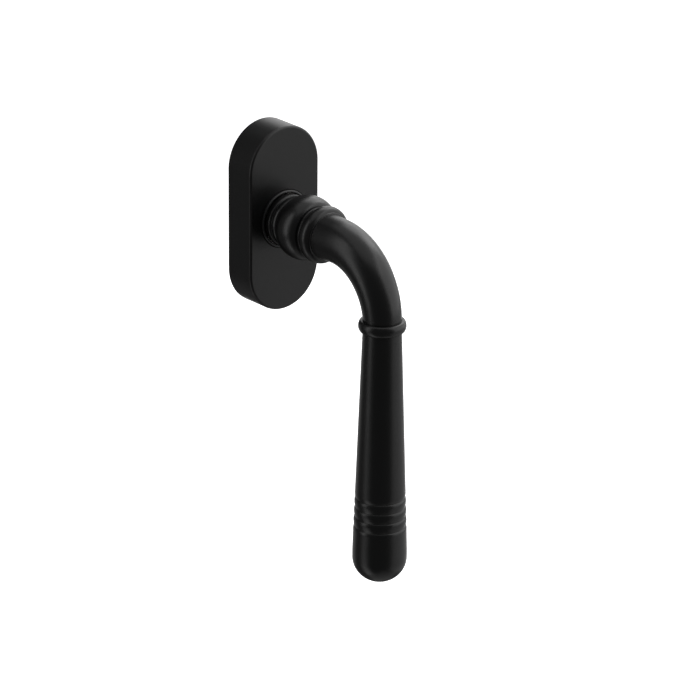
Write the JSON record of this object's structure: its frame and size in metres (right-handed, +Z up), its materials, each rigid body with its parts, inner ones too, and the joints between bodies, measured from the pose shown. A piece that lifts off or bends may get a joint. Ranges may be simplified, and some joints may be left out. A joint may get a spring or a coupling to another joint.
{
  "type": "tilt turn handle",
  "caption": "Matt black tilt and turn window handle with an oval rosette, a turned neck, a bent lever and a ribbed tapered grip.",
  "frame": {"origin": "on the turning axis, in the plane of the sash face that the base plate lies against", "axes": "+Z up, away from the hanging grip; +Y into the sash along the turning axis; the room is towards -Y"},
  "size_m": [0.03, 0.0726, 0.1501],
  "materials": {
    "black_powder_coat": "matte",
    "black_nylon": "matte",
    "natural_nylon": "satin",
    "zinc_casting": "matte",
    "plated_steel": "satin",
    "spring_steel": "satin"
  },
  "bodies": {
    "base": {"base_plate": "zinc_casting", "cover_clip_upper": "spring_steel", "cover_clip_lower": "spring_steel", "detent_case": "black_nylon", "bearing_bush": "natural_nylon", "detent_leaf_left": "spring_steel", "detent_leaf_right": "spring_steel"},
    "cover": {"cover_cap": "black_powder_coat", "cover_collar": "black_nylon"},
    "handle": {"lever_casting": "black_powder_coat", "ferrule_ring": "black_powder_coat", "grip": "black_powder_coat", "grip_stud": "plated_steel", "detent_cam": "plated_steel", "thrust_washer": "plated_steel", "circlip": "spring_steel"}
  },
  "joints": [
    {"name": "handle_turn", "type": "hinge", "parent": "base", "child": "handle", "pos_m": [0, 0, 0], "axis": [0, -1, 0], "range_deg": [-180, 180], "deforming": ["detent_leaf_left", "detent_leaf_right"]},
    {"name": "cover_lift", "type": "slide", "parent": "base", "child": "cover", "axis": [0, -1, 0], "range_m": [0, 0.0052]}
  ]
}
